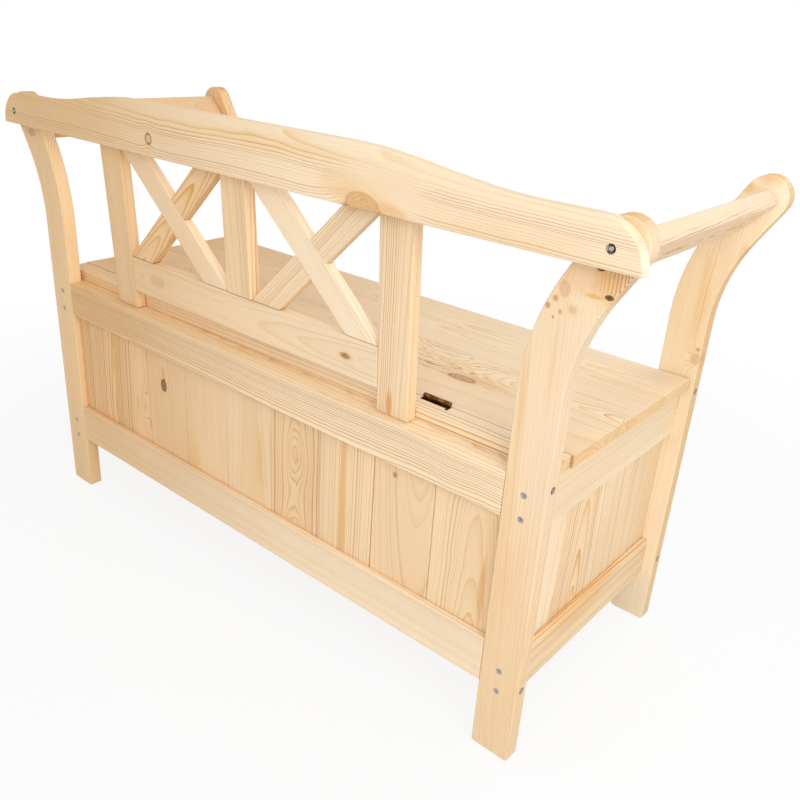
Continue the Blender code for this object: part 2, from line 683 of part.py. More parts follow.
def make_leaf(name, centre_x, side, offset, bored, pivot):
    """A leaf on side 1 (strip) or -1 (lid) of the pin, which is at Y = Z = 0, with every second knuckle."""
    low, high = centre_x - HINGE_LENGTH / 2, centre_x + HINGE_LENGTH / 2
    faces = sorted((side * GAP / 2, side * (GAP / 2 + LEAF_THICK)))
    shape = prism(rectangle(*faces, -LEAF_HEIGHT, 0), "X", low, high)
    leaf = add_object(name, shape, BRASS, (0, 0, 0), pivot)
    clear = KNUCKLE_RADIUS + GAP
    for start, end in knuckle_spans(centre_x, 1 - offset):
        room = prism(rectangle(-clear, clear, -clear, clear), "X", start - GAP, end + GAP)
        combine(leaf, room, "DIFFERENCE")
    for start, end in knuckle_spans(centre_x, offset):
        combine(leaf, prism(disc(KNUCKLE_RADIUS), "X", start, end), "UNION")
    if bored:
        bore = prism(disc(PIN_RADIUS + PIN_CLEARANCE), "X", low - GAP, high + GAP)
        combine(leaf, bore, "DIFFERENCE")
    else:
        combine(leaf, prism(disc(PIN_RADIUS), "X", low, high), "UNION")


def make_hinges(fixed, pivot):
    """Butt hinges let into the joint between strip and lid, with their knuckles standing above it."""
    for hand, side in (("left", -1), ("right", 1)):
        x = side * HINGE_CENTRE
        make_leaf(f"hinge_board_leaf_{hand}", x, 1, 0, True, fixed)
        make_leaf(f"hinge_lid_leaf_{hand}", x, -1, 1, False, pivot)


def main():
    clear_scene()
    make_posts()
    make_long_rails()
    make_side_rails()
    make_long_panels()
    make_side_panels()
    make_floor()
    make_ledges()
    make_hinge_strip()
    make_armrests()
    make_top_rail()
    make_back()
    pin = (0, HINGE_Y, HINGE_Z)
    lid_pivot = add_empty("lid_pivot", pin)
    make_lid(lid_pivot)
    make_hinges(add_empty("hinge_seat", pin), lid_pivot)


main()
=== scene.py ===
# %% [markdown]
# # A garden storage bench in unfinished pine
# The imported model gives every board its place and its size. This lesson adds what makes the
# boards look like pine: rings, knots, end grain and fibre, worked out in shader nodes from where
# a point lies inside its own board. Screws, metal, floor, lamps and camera follow.

# %% Load the bench
import math
import random

import bmesh
import bpy
from mathutils import Matrix, Vector


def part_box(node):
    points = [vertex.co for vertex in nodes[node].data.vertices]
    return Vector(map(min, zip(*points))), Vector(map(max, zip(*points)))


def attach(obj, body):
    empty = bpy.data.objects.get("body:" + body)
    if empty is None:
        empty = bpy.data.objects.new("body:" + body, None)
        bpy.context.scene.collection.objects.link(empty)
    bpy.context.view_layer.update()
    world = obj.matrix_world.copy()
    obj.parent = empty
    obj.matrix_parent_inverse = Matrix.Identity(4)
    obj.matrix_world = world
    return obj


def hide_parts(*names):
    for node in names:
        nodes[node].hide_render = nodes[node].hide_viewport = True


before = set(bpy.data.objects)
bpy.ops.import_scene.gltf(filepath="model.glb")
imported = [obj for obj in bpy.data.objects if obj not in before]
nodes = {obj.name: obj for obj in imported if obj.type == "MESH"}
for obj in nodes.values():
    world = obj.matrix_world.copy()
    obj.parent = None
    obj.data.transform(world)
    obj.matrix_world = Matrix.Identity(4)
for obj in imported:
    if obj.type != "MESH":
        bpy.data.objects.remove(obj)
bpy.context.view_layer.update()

for leftover in ("Cube", "Light", "Camera"):
    if leftover in bpy.data.objects:
        bpy.data.objects.remove(bpy.data.objects[leftover], do_unlink=True)

# %% [markdown]
# ## Shader maths
# A material is a graph of nodes, and long sums of nodes are hard to read. A small class wraps one
# socket and overloads the operators, so an expression such as 1 - mask adds the Math nodes by
# itself. Every other node comes from one method of the material's own class.

# %% A socket with operators
class Socket:
    """One output of a material's nodes, so that shader maths reads like arithmetic."""

    def __init__(self, finish, output):
        self.finish, self.output = finish, output

    def math(self, operation, *others):
        inputs = dict(enumerate((self, *others)))
        return self.finish.node("Math", {"operation": operation}, inputs)

    def reflected(self, operation, other):
        return self.finish.node("Math", {"operation": operation}, {0: other, 1: self})

    def __add__(self, other): return self.math("ADD", other)
    def __radd__(self, other): return self.reflected("ADD", other)
    def __sub__(self, other): return self.math("SUBTRACT", other)
    def __rsub__(self, other): return self.reflected("SUBTRACT", other)
    def __mul__(self, other): return self.math("MULTIPLY", other)
    def __truediv__(self, other): return self.math("DIVIDE", other)
    def __pow__(self, other): return self.math("POWER", other)
    def __abs__(self): return self.math("ABSOLUTE")

    def root(self): return self.math("SQRT")
    def bell(self): return self.math("EXPONENT")
    def fraction(self): return self.math("FRACT")
    def whole(self): return self.math("FLOOR")
    def most(self, other): return self.math("MAXIMUM", other)
    def least(self, other): return self.math("MINIMUM", other)


print("operators ready")


# %% A material and its one node method
class Finish:
    """A Principled material; node() adds any node, with its settings first and then its sockets."""

    def __init__(self, name):
        self.material = bpy.data.materials.new(name)
        self.material.use_nodes = True
        self.tree = self.material.node_tree
        self.shader = self.tree.nodes["Principled BSDF"]

    def node(self, kind, settings=None, inputs=None, output=0):
        made = self.tree.nodes.new("ShaderNode" + kind)
        for key, value in (settings or {}).items():
            setattr(made, key, value)
        for key, value in (inputs or {}).items():
            self.feed(made.inputs[key], value)
        return Socket(self, made.outputs[output])

    def feed(self, socket, value):
        if isinstance(value, Socket):
            self.tree.links.new(value.output, socket)
        else:
            socket.default_value = value

    def set(self, **values):
        """Feed the shader's own sockets; an underscore stands for a space."""
        for name, value in values.items():
            self.feed(self.shader.inputs[name.replace("_", " ")], value)

    def mix(self, factor, first, second, mode="MIX"):
        settings = {"data_type": "RGBA", "blend_type": mode, "clamp_factor": True}
        return self.node("Mix", settings, {0: factor, 6: first, 7: second}, 2)

    def tinted(self, colour, tint):
        return self.mix(1.0, colour, tint, "MULTIPLY")

    def ease(self, value, low, high, start=0.0, end=1.0):
        """A smooth step from start at low to end at high."""
        settings = {"interpolation_type": "SMOOTHSTEP"}
        return self.node("MapRange", settings, {0: value, 1: low, 2: high, 3: start, 4: end})

    def vector(self, operation, inputs, output=0):
        return self.node("VectorMath", {"operation": operation}, dict(enumerate(inputs)), output)

    def dot(self, vector, direction):
        return self.vector("DOT_PRODUCT", (vector, tuple(direction)), 1)

    def length(self, vector):
        return self.vector("LENGTH", (vector,), 1)

    def stretch(self, vector, scales, shift=(0, 0, 0)):
        return self.vector("MULTIPLY_ADD", (vector, tuple(scales), tuple(shift)))

    def object_place(self):
        return self.node("TexCoord", {}, {}, "Object")

    def noise(self, vector, detail, output=0):
        inputs = {"Vector": vector, "Scale": 1.0, "Detail": detail}
        return self.node("TexNoise", {}, inputs, output)

    def noise_of_one(self, value):
        """Smooth noise along one number."""
        return self.node("TexNoise", {"noise_dimensions": "1D"}, {"W": value, "Scale": 1.0})


def shade(red, green, blue):
    """A colour as a picture shows it, 0 to 255, turned into the linear values that shaders take."""
    channels = []
    for value in (red, green, blue):
        share = value / 255
        channels.append(share / 12.92 if share <= 0.04045 else ((share + 0.055) / 1.055) ** 2.4)
    return (*channels, 1.0)


def coat(item, *materials):
    """Give an object these materials and no others."""
    item.data.materials.clear()
    for material in materials:
        item.data.materials.append(material)


print("shader helpers ready")

# %% [markdown]
# ## How pine gets its pattern
# A trunk is a stack of cones: each year adds a ring that is pale in spring and amber in late
# summer, where it ends sharply. A board is a flat cut through those cones. So the shader works
# out how far a point lies from the pith, the centre line of the trunk, and cuts that distance
# into rings. A pith that is far to one side gives straight lines. A pith behind the face that
# drifts along the board gives the pointed flames, and a swelling of the rings gives closed ovals.
# A texture picture would repeat at each board; this pattern is cut anew through every one.

# %% Colours of the wood
# The spring wood is paler and greyer at the near end and deeper at the far end: painted light, for the lamp
# that falls off along the bench
SPRING_NEAR = shade(246, 223, 189)
SPRING_FAR = shade(239, 203, 156)
SUMMER_LINE = shade(198, 144, 88)
SUMMER_FLAME = shade(224, 176, 104)
RESIN = shade(232, 186, 118)
AMBER = shade(222, 160, 84)
GOLD = shade(232, 188, 112)
RUST = shade(176, 104, 62)
ROSE, ROSE_LINE = shade(206, 148, 110), shade(158, 94, 60)
KNOT_CORE = shade(190, 138, 96)
KNOT_RIM = shade(104, 66, 44)
# Dark colours of painted shade: round screw holes, where boards touch, and in seams, where some dirt adds
# to it
HOLE_SHADE = shade(46, 34, 28)
SEAM = shade(168, 112, 66)
CONTACT_SHADOW = shade(140, 90, 52)
END_HIGHLIGHT = shade(252, 240, 222)
END_TINT = (0.93, 0.80, 0.62, 1.0)
X, Y, Z = Vector((1, 0, 0)), Vector((0, 1, 0)), Vector((0, 0, 1))
print("colours ready, from", [round(v, 3) for v in SPRING_NEAR[:3]])


# %% One board's own directions
class Board:
    """Where a board lies: its grain direction, the face that shows, its middle and its size."""

    def __init__(self, node, along, face):
        low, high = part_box(node)
        self.name = node
        self.middle, self.size = (low + high) / 2, high - low
        self.along = along.normalized()
        self.face = (face - face.dot(self.along) * self.along).normalized()
        self.across = self.along.cross(self.face)

    def place(self, point):
        """Along, across and face coordinates of a point of the bench."""
        offset = Vector(point) - self.middle
        return offset.dot(self.along), offset.dot(self.across), offset.dot(self.face)


print("the top rail is", round(Board("top_back_rail", X, Y).size.x, 4), "m long")


# %% [markdown]
# ## Marks: knots, swellings and patches
# A knot is a branch that the saw cut through. It pushes the rings aside, has rings of its own,
# and often a dark rim of bark. A swelling pushes the rings without any branch to be seen. A patch
# is a soft stain, or, without a colour, a place where the ring lines are stronger or fainter.

# %% Knots and patches
class Knot:
    """A cut branch: its centre on the bench, its half sizes, and its looks."""

    def __init__(self, centre, half_along, half_across, dark=1.0, rim=1.0, core=KNOT_CORE,
                 push=None, deep=1.0, line=KNOT_RIM, rings=0.5, count=4.5, soft=0.20):
        self.centre, self.halves = centre, (half_along, half_across, deep)
        self.push = min(half_along, half_across, 0.010) * 0.9 if push is None else push
        self.dark, self.rim, self.core, self.line = dark, rim, core, line
        self.rings, self.count, self.soft = rings, count, soft


def swell(centre, half_along, half_across, push):
    """A bulge of the rings with no knot in it, which a flat cut shows as closed ovals."""
    return Knot(centre, half_along, half_across, 0.0, 0.0, push=push)


class Patch:
    """A soft stain of one colour, under the knots or over them; without a colour, its strength
    adds to the ring lines, and a negative one takes from them."""

    def __init__(self, centre, halves, strength, colour=None, over=False):
        self.centre, self.halves = centre, halves
        self.strength, self.colour, self.over = strength, colour, over


small_knot = Knot((0, 0, 0), 0.005, 0.005)
print("a knot 10 mm wide pushes the rings", round(small_knot.push * 1000, 1), "mm aside")

# %% [markdown]
# ## From a point to a ring
# Every board gets its own set of smooth noises, stretched along the grain: a slow one bends the
# pith, quicker ones shake the rings, and two very fine ones are fibre and fleck. The draw that
# shifts them is seeded with the board's name, so no two boards agree and each run is the same.

# %% Coordinates and noises of one board
# Waves of each noise per metre: along, across and into the board
SLOW, QUICK, WOBBLE = (2.6, 7.0, 7.0), (16.0, 70.0, 70.0), (26.0, 45.0, 45.0)
FIBRE, FLECK = (9.0, 1500.0, 1500.0), (40.0, 600.0, 600.0)


class Grain:
    """What all the parts of one board's pattern share."""

    def __init__(self, finish, board, seed, choppy):
        self.finish, self.board = finish, board
        self.shift = random.Random(seed or board.name).uniform(3.0, 40.0)
        self.coordinates = finish.object_place()
        centred = finish.stretch(self.coordinates, (1, 1, 1), -board.middle)
        self.a = finish.dot(centred, board.along)
        self.b = finish.dot(centred, board.across)
        self.c = finish.dot(centred, board.face)
        self.local = finish.node("CombineXYZ", {}, {0: self.a, 1: self.b, 2: self.c})
        slow = self.noise(SLOW, 0, 1.0, 1)
        self.slow = [finish.node("SeparateXYZ", {}, {0: slow}, axis) - 0.5 for axis in range(3)]
        self.quick = self.noise(QUICK, 5, 2.0) - 0.5
        self.wobble = self.noise([waves * choppy for waves in WOBBLE], 13, 1.0) - 0.5
        self.fibre = self.noise(FIBRE, 0, 2.0) - 0.5
        self.fleck = self.noise(FLECK, 9, 1.0) - 0.5

    def noise(self, waves, offset, detail, output=0):
        moved = (self.shift + offset,) * 3
        return self.finish.noise(self.finish.stretch(self.local, waves, moved), detail, output)

    def distance(self, mark, unevenness):
        """Distance from a mark's centre, 1 at its rim, a little irregular."""
        place = self.board.place(mark.centre)
        scales = [1 / half for half in mark.halves]
        shift = [-at / half for at, half in zip(place, mark.halves)]
        return self.finish.length(self.finish.stretch(self.local, scales, shift)) + unevenness


print("finest fibre:", round(1000 / FIBRE[1], 2), "mm wide,", round(1000 / FIBRE[0]), "mm long")


# %% Ring lines
FLAT_FROM, FLAT_TO = 0.60, 0.97        # share of the cut that is tangent to the rings
KNOT_REACH = -0.32                     # how fast a knot's push dies away
WIDTH_WAVES, WIDTH_SWING = 55.0, 2.4   # rings grow wide and narrow by turns
BUNDLE_WAVES = 0.21                    # strong and faint rings come in bundles
LATE, LINE_END = 4.0, 0.92             # a line darkens late in its year and ends sharply


def ring_lines(grain, pith, depth, drift, spacing, sway, ripple, knots, distances):
    """The dark line at the end of each year, how flat the cut is, and the share of the year."""
    finish = grain.finish
    sideways = grain.b - pith + grain.slow[0] * sway
    inward = grain.c + depth + grain.a * drift + grain.slow[1] * (sway * 1.4)
    radius = (sideways * sideways + inward * inward).root()
    flat = finish.ease(abs(inward) / radius, FLAT_FROM, FLAT_TO)
    radius = radius + grain.quick * (spacing * 0.28) + grain.wobble * ripple
    for knot, distance in zip(knots, distances):
        radius = radius + (distance * distance * KNOT_REACH).bell() * knot.push

    count = radius / spacing + finish.noise_of_one(radius * WIDTH_WAVES + grain.shift) * WIDTH_SWING
    year = count.fraction()
    draw = {"W": count.whole() + grain.shift}
    strength = finish.node("TexWhiteNoise", {"noise_dimensions": "1D"}, draw)
    bundle = finish.ease(finish.noise_of_one(count * BUNDLE_WAVES + grain.shift), 0.34, 0.62, 0.5, 1.35)
    emphasis = bundle * (strength * 0.7 + 0.45) * (1.0 + grain.fibre * 0.9)
    return year ** LATE * finish.ease(year, LINE_END, 1.0, 1.0, 0.0) * emphasis, flat, year


print("a line is strongest at", LINE_END, "of its year")

# %% [markdown]
# ## Colour, knot by knot
# The colour is built up in the order in which a painter would lay it: spring wood, resin and
# stains, the ring lines, the fibre's light and shade, then the knots over all that. Thin dark
# lines come last, because they are painted shade and not wood: round the screw holes, where two
# boards touch, and at the seams, where some dirt in the joint adds to the shade.

# %% Stains and knots
def stain(grain, colour, patches):
    """Stains under the lines, the strength of the lines, and the stains that lie over the knots."""
    finish = grain.finish
    lines, over = 1.0, []
    for patch in patches:
        distance = grain.distance(patch, grain.quick * 0.8 + grain.fibre * 0.5)
        mask = finish.ease(distance, 0.35, 1.15, patch.strength, 0.0)
        if patch.over:
            over.append((mask, patch.colour))
        elif patch.colour:
            colour = finish.mix(mask, colour, patch.colour)
        else:
            lines = mask + lines
    return colour, lines, over


def cut_branch(grain, knot, distance, colour, rough, height):
    """One knot: a halo of resin, the branch with its own rings, and the rim of bark."""
    finish = grain.finish
    edge_in, edge_out = 1 - 2.75 * knot.soft, 1 + 0.75 * knot.soft
    inside = finish.ease(distance, edge_in, edge_out, 1.0, 0.0)
    off_rim = (distance - 1 + 0.4 * knot.soft) / knot.soft
    rim = (off_rim * off_rim * -1.0).bell()
    own_rings = ((distance + grain.quick * 0.33) * knot.count).fraction() ** 2.0
    branch = finish.mix(own_rings * knot.rings, knot.core, knot.line)
    halo = finish.ease(distance, 0.9, 2.3, 1.0, 0.0) * (0.5 * knot.dark)
    colour = finish.mix(halo, colour, RESIN)
    colour = finish.mix(inside * (0.92 * knot.dark), colour, branch)
    colour = finish.mix(rim * knot.rim, colour, knot.line)
    return colour, rough - inside * 0.14, height - rim * (1.4 * knot.rim) + inside * 0.4


print("stains and knots ready")

# %% Dark lines of painted shade
# Width and strength of the painted shadow lines where boards touch, and how far the seam's painted shade
# reaches
CONTACT_CORE, CONTACT_EDGE, CONTACT_SHARE = 0.0004, 0.0016, 0.55
SEAM_FROM, SEAM_TO = 0.0016, 0.0003


def shadows(grain, colour, screws, contact, seam):
    """Painted shade: dark rims round screw holes, painted shadow lines where another board touches, and
    painted shade with some dirt in the seams at both edges.
    """
    finish = grain.finish
    # Painted shade: a dark rim round each screw hole
    for centre, reach, share in screws:
        away = finish.length(finish.stretch(grain.coordinates, (1, 1, 1), -Vector(centre)))
        rim = finish.ease(away, reach * 0.98, reach * 1.20, share, 0.0)
        colour = finish.mix(rim, colour, HOLE_SHADE)
    # Painted shadow: a thin dark line where another board touches
    for level in contact:
        off = abs(finish.dot(grain.coordinates, Z) - level)
        line = finish.ease(off, CONTACT_CORE, CONTACT_EDGE, CONTACT_SHARE, 0.0)
        colour = finish.mix(line, colour, CONTACT_SHADOW)
    # Painted shade, with some dirt in the joint, along both edges of the board
    if seam:
        half = abs(grain.board.size.dot(grain.board.across)) / 2
        off = abs(grain.b) + grain.fibre * 0.0010 + grain.quick * 0.0012
        edge = finish.ease(off, half - SEAM_FROM, half - SEAM_TO, 0.0, seam)
        colour = finish.mix(edge, colour, SEAM)
    return colour


print("a contact line is", round(2000 * CONTACT_EDGE, 1), "mm wide")

# %% The pine material
FALLOFF_FROM, FALLOFF_TO = -0.30, 0.52   # painted light: paler near end, where the lamp is strongest, deeper far end


def pine(board, pith=0.0, depth=0.03, drift=0.02, spacing=0.0035, sway=0.006, contrast=0.6,
         tint=(1.0, 1.0, 1.0), streaks=0.0, knots=(), patches=(), screws=(), ripple=0.0008,
         choppy=1.0, seam=0.0, seed=None, end_highlight=0.0, facing_shade=None, contact=()):
    """Pine for one board, in metres. The pith lies pith across from the board's middle and depth
    behind its face; drift slants it and sway bends it. Spacing is the width of a year, ripple
    shakes it. A painted shade for one side is given as a direction and the tint of the faces that
    look that way."""
    finish = Finish(f"pine_{board.name}")
    grain = Grain(finish, board, seed, choppy)
    distances = [grain.distance(knot, grain.quick * 0.9) for knot in knots]
    summer, flat, year = ring_lines(grain, pith, depth, drift, spacing, sway, ripple, knots, distances)
    fibre, fleck, slow = grain.fibre, grain.fleck, grain.slow

    # Painted light: the colour runs from the pale near end, where the lamp is strongest, to the deeper far
    # end
    light_falloff = finish.ease(finish.dot(grain.coordinates, X), FALLOFF_FROM, FALLOFF_TO)
    colour = finish.mix(light_falloff, SPRING_NEAR, SPRING_FAR)
    resin = finish.ease(slow[2] + fibre * 0.16 + year * 0.06, 0.08, 0.24)
    colour = finish.mix(resin * (0.26 + streaks), colour, RESIN)
    colour, lines, over = stain(grain, colour, patches)
    line_colour = finish.mix(flat, SUMMER_LINE, SUMMER_FLAME)
    colour = finish.mix(summer * (contrast * 1.5) * lines, colour, line_colour)
    light = 1.0 + fibre * 0.16 + fleck * 0.07 + slow[1] * 0.18 + slow[0] * 0.08
    grey = finish.node("CombineXYZ", {}, {0: light, 1: light, 2: light})
    colour = finish.tinted(finish.tinted(colour, grey), (*tint, 1.0))

    rough = 0.56 - summer * 0.10 + fibre * 0.12
    height = summer * 0.35 + fibre * 0.5 + fleck * 0.3
    for knot, distance in zip(knots, distances):
        if knot.dark:
            colour, rough, height = cut_branch(grain, knot, distance, colour, rough, height)
    for mask, tone in over:
        colour = finish.mix(mask, colour, tone)
    colour = shadows(grain, colour, screws, contact, seam)

    # Cut ends drink light: they are darker and more orange than the faces
    normal = finish.node("TexCoord", {}, {}, "Normal")
    end = finish.ease(abs(finish.dot(normal, board.along)), 0.70, 0.95)
    colour = finish.mix(end, colour, finish.tinted(colour, END_TINT))
    # Painted highlight: where a lamp strikes the cut ends hard, they are paled towards near white and their
    # lines fade
    if end_highlight:
        colour = finish.mix(end * end_highlight, colour, END_HIGHLIGHT)
    # Painted shade: faces that look along the given direction are darkened by its tint, for how the light
    # falls on them
    if facing_shade:
        direction, tone = facing_shade
        turned = finish.ease(finish.dot(normal, direction), 0.5, 0.9)
        colour = finish.mix(turned, colour, finish.tinted(colour, tone))
    rough = rough + end * 0.12

    bump = finish.node("Bump", {}, {"Strength": 0.35, "Distance": 0.0003, "Height": height})
    finish.set(Base_Color=colour, Roughness=rough.least(0.9), Normal=bump, IOR=1.45,
               Specular_IOR_Level=0.32)
    coat(nodes[board.name], finish.material)


print("pine ready")

# %% [markdown]
# ## The top back rail
# It is one wide board, sawn so that the pith lies behind its upper half: fine parallel lines run
# along the lower half, and pointed flames fill the raised middle. Two branches crossed it. One
# is a thin dark ring, and the other, at the lower edge, is large and turns the lines upward.

# %% Top back rail
RAIL_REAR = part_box("top_back_rail")[1].y
# RAIL_HOLE is the reach of the painted shade round each rail screw
RAIL_SCREW_X, RAIL_SCREW_Z, RAIL_HOLE = 0.586, 0.7357, 0.0049
HANDS = (("left", -1), ("right", 1))
RAIL_SCREWS = {hand: Vector((side * RAIL_SCREW_X, RAIL_REAR, RAIL_SCREW_Z)) for hand, side in HANDS}
rail_knots = (
    Knot((0.183, RAIL_REAR, 0.7397), 0.0075, 0.0085, dark=0.30, rim=0.75),
    Knot((-0.2525, RAIL_REAR, 0.7130), 0.0290, 0.0200, dark=0.85, rim=0.38,
         core=shade(230, 180, 122), push=0.014, line=shade(168, 104, 60), rings=0.62, count=8.0, soft=0.07),
)
rail_patches = (
    Patch((-0.2265, RAIL_REAR, 0.7090), (0.012, 0.010, 1), 0.95, shade(150, 84, 46), over=True),
    Patch((-0.284, RAIL_REAR, 0.7080), (0.016, 0.007, 1), 0.95, shade(160, 92, 50), over=True),
    Patch((-0.285, RAIL_REAR, 0.7420), (0.100, 0.045, 1), -0.85),
    Patch((-0.140, RAIL_REAR, 0.7760), (0.160, 0.018, 1), 0.8),
    Patch((0.120, RAIL_REAR, 0.7700), (0.160, 0.025, 1), 0.5),
    Patch((-0.296, RAIL_REAR, 0.7170), (0.035, 0.012, 1), 0.45, AMBER),
    Patch((-0.215, RAIL_REAR, 0.7400), (0.045, 0.020, 1), 0.35, RESIN),
    Patch((-0.100, RAIL_REAR, 0.7700), (0.200, 0.012, 1), 0.30, RESIN),
    Patch((0.480, RAIL_REAR, 0.7400), (0.280, 0.080, 1), 0.40, shade(224, 182, 124)),
)
pine(Board("top_back_rail", X, Y), pith=0.030, depth=0.024, drift=0.022, spacing=0.0031, sway=0.014,
     contrast=0.68, tint=(1.01, 1.02, 1.04), knots=rail_knots, patches=rail_patches, ripple=0.0016,
     screws=[(place, RAIL_HOLE, 0.98) for place in RAIL_SCREWS.values()], seed="camel", end_highlight=0.8)
print("top rail: knots", len(rail_knots), "patches", len(rail_patches))

# %% [markdown]
# ## The rails of the chest
# The rear upper rail is cut from a slow-grown piece: its face is ruled with close dark lines.
# Their cause, a pith far below, makes the top edge a tangent cut, where broad flames appear.
# The lower rear rail is the calmest board of the bench, and so the finest ruled.

# %% Rails
RAIL_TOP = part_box("rear_upper_rail")[1].z
CHEST_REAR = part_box("rear_upper_rail")[1].y
ruled_patches = (
    Patch((0.17, 0.190, RAIL_TOP), (0.090, 0.010, 0.006), 0.65, GOLD),
    Patch((0.04, 0.196, RAIL_TOP), (0.060, 0.010, 0.005), 0.55, GOLD),
    Patch((-0.327, 0.178, RAIL_TOP), (0.016, 0.005, 0.006), 0.30, AMBER),
    Patch((-0.458, 0.180, RAIL_TOP), (0.012, 0.005, 0.006), 0.30, AMBER),
    Patch((0.450, CHEST_REAR, 0.4000), (0.300, 0.060, 1), 0.55, shade(222, 178, 120)),
    Patch((0.0, 0.200, RAIL_TOP), (0.80, 0.006, 0.10), -0.60),
    Patch((0.0, 0.200, RAIL_TOP), (0.50, 0.006, 0.10), 0.30, shade(240, 204, 140)),
)
wave = swell((-0.407, CHEST_REAR, 0.4050), 0.020, 0.022, 0.0026)
pine(Board("rear_upper_rail", X, Y), pith=-0.080, depth=0.055, drift=0.010, spacing=0.0031, sway=0.012,
     contrast=1.25, streaks=-0.14, knots=(wave,), patches=ruled_patches, ripple=0.0016, seed="ruled")
pine(Board("rear_lower_rail", X, Y), pith=-0.140, depth=0.050, drift=0.008, spacing=0.0026,
     contrast=0.50, tint=(1.0, 1.01, 1.03), ripple=0.0012, seed="quiet")
for name in ("front_upper_rail", "front_lower_rail"):
    pine(Board(name, X, -Y), pith=-0.10, drift=0.015, spacing=0.003, contrast=0.55)
for name in ("left_upper_rail", "right_upper_rail"):
    pine(Board(name, Y, -X), pith=-0.09, spacing=0.0032, contrast=0.48, tint=(0.99, 0.98, 0.95),
         ripple=0.0014)
for name in ("left_lower_rail", "right_lower_rail"):
    pine(Board(name, Y, -X), pith=0.08, depth=0.02, spacing=0.0034, contrast=1.25,
         tint=(0.98, 0.94, 0.86), streaks=0.3)
print("chest rails: 8, top edge at", round(RAIL_TOP, 4))

# %% [markdown]
# ## The posts
# Each post was cut out of a wide plank with the grain upright, so the lines run straight on
# through the flare and come out at the horn's edge, where end grain turns orange. The post at
# the near end shows a cluster of small knots and one dark knot with resin beside it. The faces
# of a post that look to the near end get a painted shade: a faint one on the near post, where
# the lamp strikes hardest, and a deep orange one on the front post's outer face.

# %% Post at the near end of the back
POST_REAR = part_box("post_rear_left")[1].y
LEG_SIDE, POST_SCREW_X = 0.550, 0.519
SCREW_HEADS = (0.4166, 0.3823, 0.1434, 0.1094)
SIDE_SCREW_HEADS = (0.432, 0.122)
SIDE_SCREW_ROWS = {"rear": 0.2034, "front": -0.2217}
# POST_HOLE and SIDE_HOLE are the reach of the painted shade round the screw holes
POST_HOLE, SIDE_HOLE = 0.0040, 0.0044


def post_holes(side, row):
    """Painted shade round the holes where the screws of one post sit; the near post's is fainter."""
    holes = [((side * LEG_SIDE, SIDE_SCREW_ROWS[row], z), SIDE_HOLE, 0.95) for z in SIDE_SCREW_HEADS]
    if row == "rear":
        share = 0.75 if side < 0 else 0.9
        holes += [((side * POST_SCREW_X, POST_REAR, z), POST_HOLE, share) for z in SCREW_HEADS]
    return holes


post_knots = (
    Knot((-0.533, POST_REAR, 0.6783), 0.0085, 0.0060, 0.50, 0.20, shade(224, 178, 140),
         line=ROSE_LINE, rings=0.7, count=3.0, soft=0.18),
    Knot((-0.5233, POST_REAR, 0.6658), 0.0032, 0.0030, 0.80, 0.35, ROSE, line=ROSE_LINE),
    Knot((-0.5155, POST_REAR, 0.6559), 0.0028, 0.0026, 0.85, 0.40, ROSE, line=ROSE_LINE),
    Knot((-0.5311, POST_REAR, 0.6521), 0.0025, 0.0022, 0.70, 0.25, ROSE, line=ROSE_LINE),
    Knot((-0.5236, POST_REAR, 0.6444), 0.0015, 0.0015, 0.80, 0.50, ROSE),
    Knot((-0.5454, POST_REAR, 0.6581), 0.0048, 0.0060, 0.50, 0.0, shade(218, 170, 120)),
    Knot((-0.5845, POST_REAR, 0.6812), 0.0026, 0.0050, 1.0, 0.9, shade(70, 30, 22),
         deep=0.006, line=shade(60, 24, 18)),
    Knot((-0.5708, POST_REAR, 0.7083), 0.0018, 0.0040, 1.0, 1.0, shade(80, 50, 36), deep=0.006),
)
post_patches = (
    Patch((-0.569, POST_REAR, 0.6785), (0.0035, 0.015, 1), 0.70, shade(228, 172, 76)),
    Patch((-0.580, POST_REAR, 0.6960), (0.030, 0.022, 1), 0.45, RESIN),
    Patch((-0.594, POST_REAR, 0.7010), (0.030, 0.026, 1), 5.5),
    Patch((-0.499, POST_REAR, 0.5600), (0.090, 0.007, 1), 0.30, RESIN),
    Patch((-0.531, POST_REAR, 0.5900), (0.060, 0.005, 1), 0.25, RESIN),
    Patch((-0.596, POST_REAR, 0.6700), (0.012, 0.012, 1), 0.55, AMBER),
    Patch((-0.560, POST_REAR, 0.7020), (0.030, 0.060, 1), 0.25, AMBER),
    Patch((-0.530, POST_REAR, 0.5400), (0.120, 0.030, 1), -0.45),
    Patch((-0.500, POST_REAR, 0.4600), (0.120, 0.010, 1), 0.22, RESIN),
    Patch((-0.520, POST_REAR, 0.1500), (0.260, 0.080, 1), 0.45, shade(236, 198, 146)),
    Patch((-0.600, 0.2035, 0.7750), (0.030, 0.050, 1), 0.45, shade(226, 196, 150)),
)
# A faint painted shade dims the faces that look to the near end, where the lamp strikes hardest
pine(Board("post_rear_left", Z, Y), pith=-0.100, depth=0.050, drift=0.045, spacing=0.0038, sway=0.014,
     contrast=0.20, streaks=0.10, tint=(0.948, 0.912, 0.882), facing_shade=(-X, (0.975, 0.96, 0.95, 1.0)),
     knots=post_knots, patches=post_patches, ripple=0.0014, screws=post_holes(-1, "rear"),
     seed="near post")
print("near post: knots", len(post_knots), "patches", len(post_patches))

